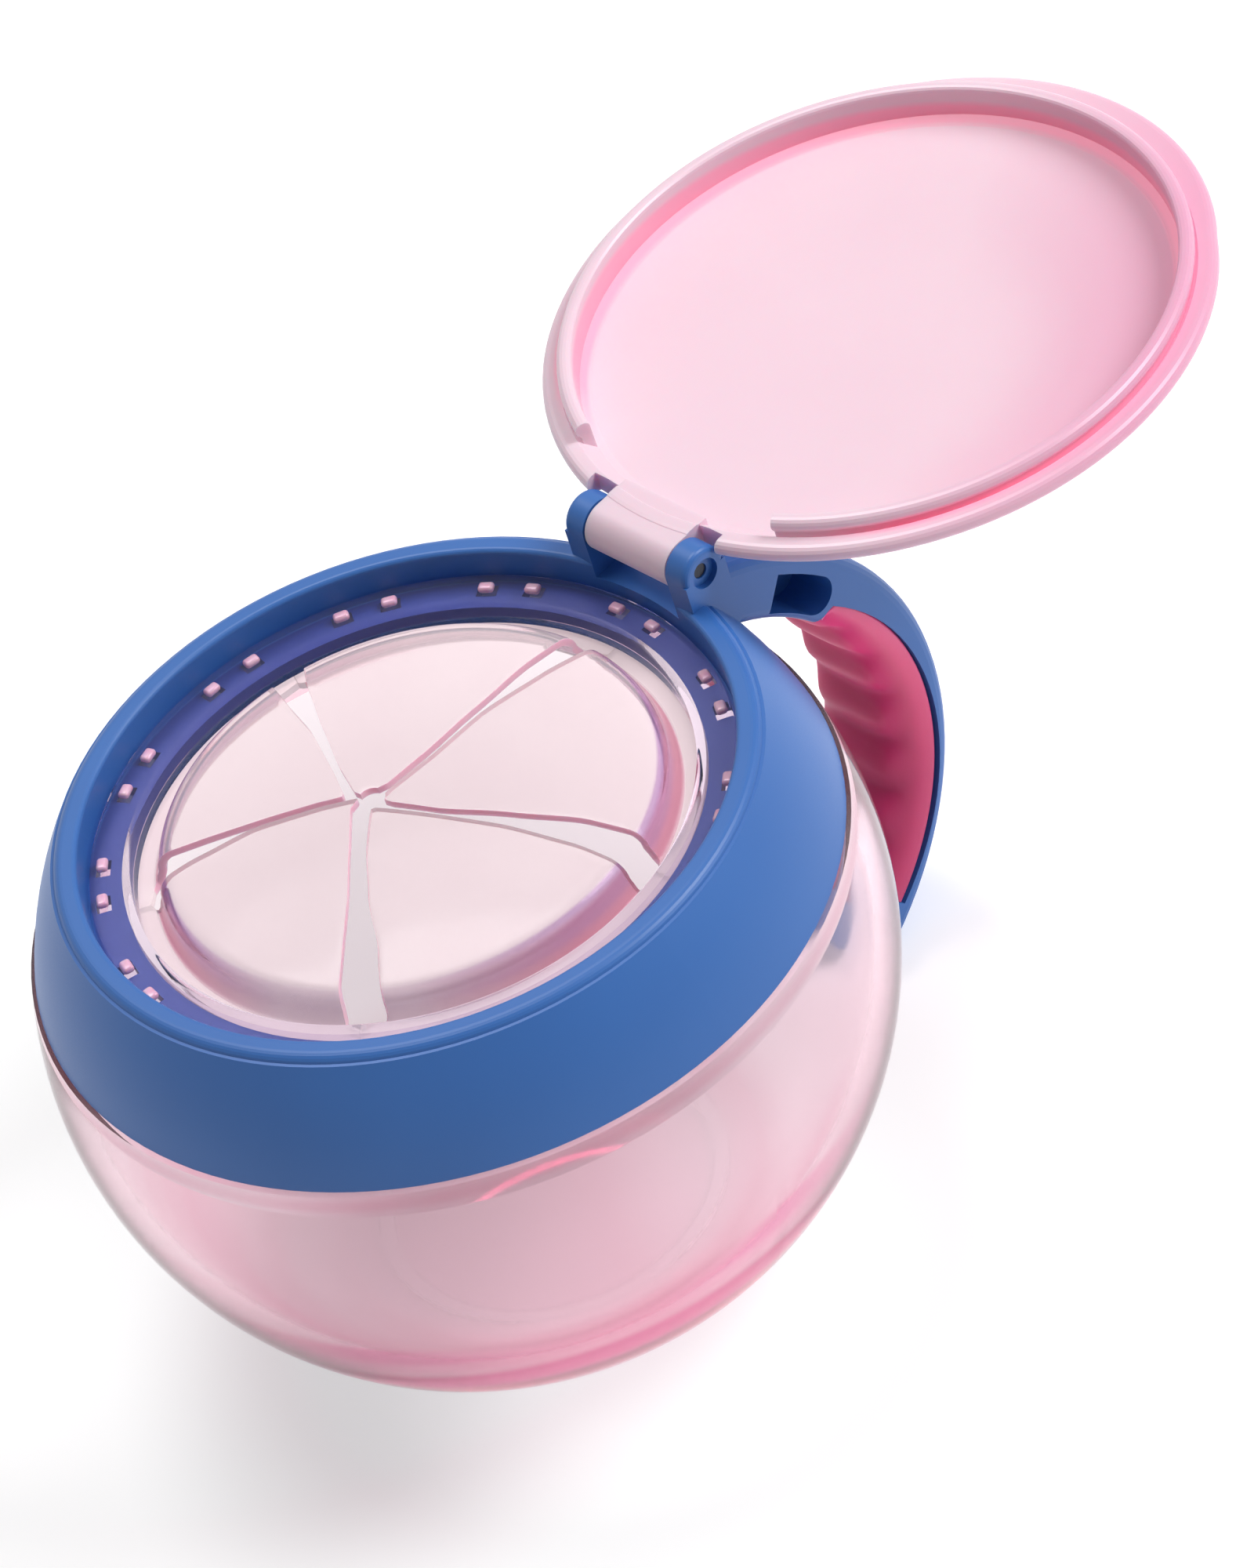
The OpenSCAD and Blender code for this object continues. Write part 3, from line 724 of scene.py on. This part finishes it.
# Lengths in millimetres, angles in degrees
gripSet = {
    "centre": (30.9, 33.2),    # y and z of the handle's centre of curvature
    "half": 7.95,              # half of its width
    "crest": 30.42,            # radius of a ridge's crest and of the valleys between
    "valley": 31.5,
    "pitch": 12.8,             # from one finger ridge to the next
    "firstRidge": 32.0,
    "crestPower": 0.8,
    "flank": 2.6,              # how soon the ridges fade towards the sides
    "flankDrop": 0.25,
    "corner": 5.2,             # rounding under the fingers
    "cornerShare": 0.7,        # of the thickness, at most
    "backR": 37.66,            # radius of the back, where it is farthest out
    "backFall": 6.6,
    "backAt": -25,
    "endAngle": 29.0,          # the upper end is rounded about a point at this angle and radius
    "endCentre": 31.1,
    "endR": 4.9,
    "endGap": 0.15,            # the last row stays this far from the very end
    "bottom": -48.9,
    # squarer than a circle at the back, well rounded under the fingers: across and in depth
    "backPowers": (0.42, 0.42),
    "frontPowers": (0.62, 0.8),
    "spinR": 34,               # radius at which the round section is spun, before it is shaped
    "steps": 150,
    "segments": 64,
}


# Radius of the grip's back at an angle, with its upper end rounded off
def gripBack(angle):
    p = gripSet
    back = p["backR"] - p["backFall"] * (1 - cos(radians(angle - p["backAt"])))
    if angle > p["endAngle"]:
        gap = radians(angle - p["endAngle"])
        across = p["endCentre"] * sin(gap)
        end = p["endCentre"] * cos(gap) + sqrt(max(0, p["endR"] ** 2 - across ** 2))
        back = min(back, end)
    return back


# Radius of the ridged front at an angle, at a distance from its middle line
def gripFront(angle, x):
    p = gripSet
    wave = 0.5 + 0.5 * cos(2 * pi * (angle - p["firstRidge"]) / p["pitch"])
    fade = smoothStep((1 - abs(x) / p["half"]) * p["flank"])
    front = p["valley"] - (p["valley"] - p["crest"]) * wave ** p["crestPower"] * fade
    return front + p["flankDrop"] * (1 - fade)


def softGrip():
    p = gripSet
    top = p["endAngle"] + degrees(asin(p["endR"] / p["endCentre"])) - p["endGap"]
    bm = bmesh.new()
    ring = bmesh.ops.create_circle(bm, radius=1, segments=p["segments"])["verts"]
    edges = list({e for v in ring for e in v.link_edges})
    tilt = Matrix.Rotation(radians(p["bottom"]), 3, "X")
    bmesh.ops.translate(bm, vec=(0, p["spinR"], 0), verts=ring)
    bmesh.ops.rotate(bm, cent=(0, 0, 0), matrix=tilt, verts=ring)
    bmesh.ops.spin(bm, geom=ring + edges, cent=(0, 0, 0), axis=(1, 0, 0),
                   angle=radians(top - p["bottom"]), steps=p["steps"])
    cy, cz = p["centre"]
    for v in bm.verts:
        angle = degrees(atan2(v.co.z, v.co.y))
        radial = hypot(v.co.y, v.co.z) - p["spinR"]     # -1 inside, +1 at the back
        side = v.co.x
        power, depthPower = p["backPowers"] if radial > 0 else p["frontPowers"]
        x = p["half"] * (1 if side > 0 else -1) * abs(side) ** power
        depth = abs(radial) ** depthPower
        back, front = gripBack(angle), gripFront(angle, x)
        waist = front + min(p["corner"], (back - front) * p["cornerShare"])
        r = waist + (back - waist) * depth if radial > 0 else waist - (waist - front) * depth
        turn = radians(angle)
        v.co = Vector((x, cy + r * cos(turn), cz + r * sin(turn))) * mm
    bmesh.ops.holes_fill(bm, edges=[e for e in bm.edges if e.is_boundary], sides=0)
    grip = makePiece("softGrip", bm, "collar", (gripRubber(),), 60)
    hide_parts("handle_grip")


softGrip()
print("grip made")

cameraSet = {
    "lens": 147.89,            # and its sensor, in millimetres
    "sensor": 36,
    "clip": (0.01, 20),
    "place": (0.47029, -0.26687, 0.54912),
    "looksAt": (0.00414, 0.02555, 0.05),
    "roll": -19.066,           # in degrees
}


# Places a lamp or the camera so that it looks at a point
def aim(obj, place, target, roll=0):
    facing = (Vector(target) - Vector(place)).to_track_quat("-Z", "Y").to_matrix()
    turn = facing @ Matrix.Rotation(radians(roll), 3, "Z")
    obj.matrix_world = Matrix.Translation(place) @ turn.to_4x4()


def camera():
    p = cameraSet
    data = bpy.data.cameras.new("camera")
    data.lens, data.sensor_width, data.sensor_fit = p["lens"], p["sensor"], "AUTO"
    data.clip_start, data.clip_end = p["clip"]
    obj = bpy.data.objects.new("camera", data)
    scene.collection.objects.link(obj)
    aim(obj, p["place"], p["looksAt"], p["roll"])
    scene.camera = obj


lightSet = {
    "sky": 0.19,               # what lights the object
    "skySeen": 1.0,            # what gloss and clear plastic show of it
    "size": 0.8,
    # name, place, target, power and whether the open lid blocks its light
    "lamps": [("topLight", (-0.5, 0.13, 1.42), (0, 0, 0.02), 10.2, False),
              ("keyLight", (0.72, 0.88, 1.12), (0, 0, 0.05), 17.5, True)],
}


# A round lamp. The lid throws no shade from one whose light it doesn't block
def softbox(name, place, target, power, blocked):
    data = bpy.data.lights.new(name, "AREA")
    data.shape, data.size, data.energy = "DISK", lightSet["size"], power
    obj = bpy.data.objects.new(name, data)
    scene.collection.objects.link(obj)
    aim(obj, place, target)
    if not blocked:
        passed = bpy.data.collections.new(name + "Passes")
        passed.objects.link(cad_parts["lid"])
        passed.collection_objects[0].light_linking.link_state = "EXCLUDE"
        obj.light_linking.blocker_collection = passed


def room():
    world = bpy.data.worlds.new("room")
    world.use_nodes = True
    tree = world.node_tree
    path = tree.nodes.new("ShaderNodeLightPath")
    seen, lighting = lightSet["skySeen"], lightSet["sky"]
    strength = span(tree, path.outputs["Is Diffuse Ray"], seen, lighting)
    tree.links.new(strength, tree.nodes["Background"].inputs["Strength"])
    tree.nodes["Background"].inputs["Color"].default_value = (1, 1, 1, 1)
    scene.world = world


# Lengths in metres
floorSet = {
    "radius": 6,
    "drop": 0.0002,            # under the base, so that the two don't share a plane
    "values": {"Base Color": (0.93, 0.93, 0.93, 1), "Roughness": 0.9, "Specular IOR Level": 0.1,
               "Emission Color": (1, 1, 1, 1), "Emission Strength": 0.26},
}


def floorSheet():
    bm = bmesh.new()
    bmesh.ops.create_circle(bm, cap_ends=True, radius=floorSet["radius"], segments=64)
    bmesh.ops.translate(bm, vec=(0, 0, -floorSet["drop"]), verts=bm.verts)
    mesh = bpy.data.meshes.new("floor")
    bm.to_mesh(mesh)
    bm.free()
    obj = bpy.data.objects.new("floor", mesh)
    scene.collection.objects.link(obj)
    mat, tree, shader, place = newMaterial("paleFloor")
    for socket, value in floorSet["values"].items():
        shader.inputs[socket].default_value = value
    wear(obj, mat)


camera()
floorSheet()
room()
for lamp in lightSet["lamps"]:
    softbox(*lamp)
scene.view_settings.view_transform = "Standard"
print("stage set")
